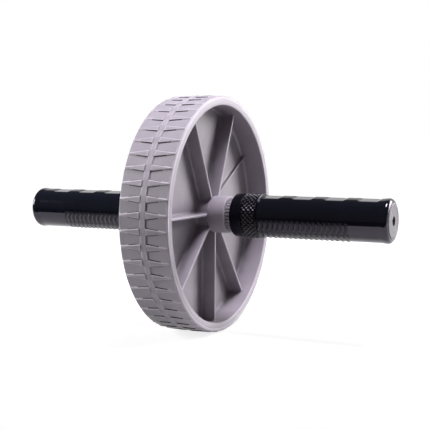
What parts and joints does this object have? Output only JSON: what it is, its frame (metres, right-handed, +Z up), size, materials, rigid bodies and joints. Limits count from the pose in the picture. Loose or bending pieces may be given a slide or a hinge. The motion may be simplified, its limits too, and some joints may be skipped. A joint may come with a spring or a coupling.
{
  "type": "ab wheel roller",
  "caption": "Exercise roller: a ribbed grey wheel with a cleated tread turns freely on an axle between two black hand grips with finger scoops and knurled collars",
  "frame": {"origin": "the middle of the axle, at the wheel's centre", "axes": "+X along the axle to the right grip, +Z up, -Y to the front"},
  "size_m": [0.301, 0.18, 0.18],
  "materials": {
    "tyre_grey": "matte",
    "wheel_grey": "matte",
    "steel": "brushed",
    "bush_white": "matte",
    "spacer_grey": "satin",
    "flange_black": "satin",
    "knurl_black": "knurled",
    "grip_black": "gloss",
    "cap_grey": "satin"
  },
  "bodies": {
    "handle": {"axle_rod": "steel", "spacer_ring_left": "spacer_grey", "retaining_ring_left": "steel", "handle_core_left": "flange_black", "knurled_collar_left": "knurl_black", "grip_left": "grip_black", "end_cap_left": "cap_grey", "cap_washer_left": "steel", "cap_screw_left": "steel", "spacer_ring_right": "spacer_grey", "retaining_ring_right": "steel", "handle_core_right": "flange_black", "knurled_collar_right": "knurl_black", "grip_right": "grip_black", "end_cap_right": "cap_grey", "cap_washer_right": "steel", "cap_screw_right": "steel"},
    "wheel": {"wheel_body": "wheel_grey", "tread_tyre": "tyre_grey", "hub_bush_left": "bush_white", "hub_bush_right": "bush_white"}
  },
  "joints": [
    {"name": "wheel_spin", "type": "hinge", "parent": "handle", "child": "wheel", "pos_m": [0, 0, 0], "axis": [1, 0, 0], "continuous": true}
  ]
}
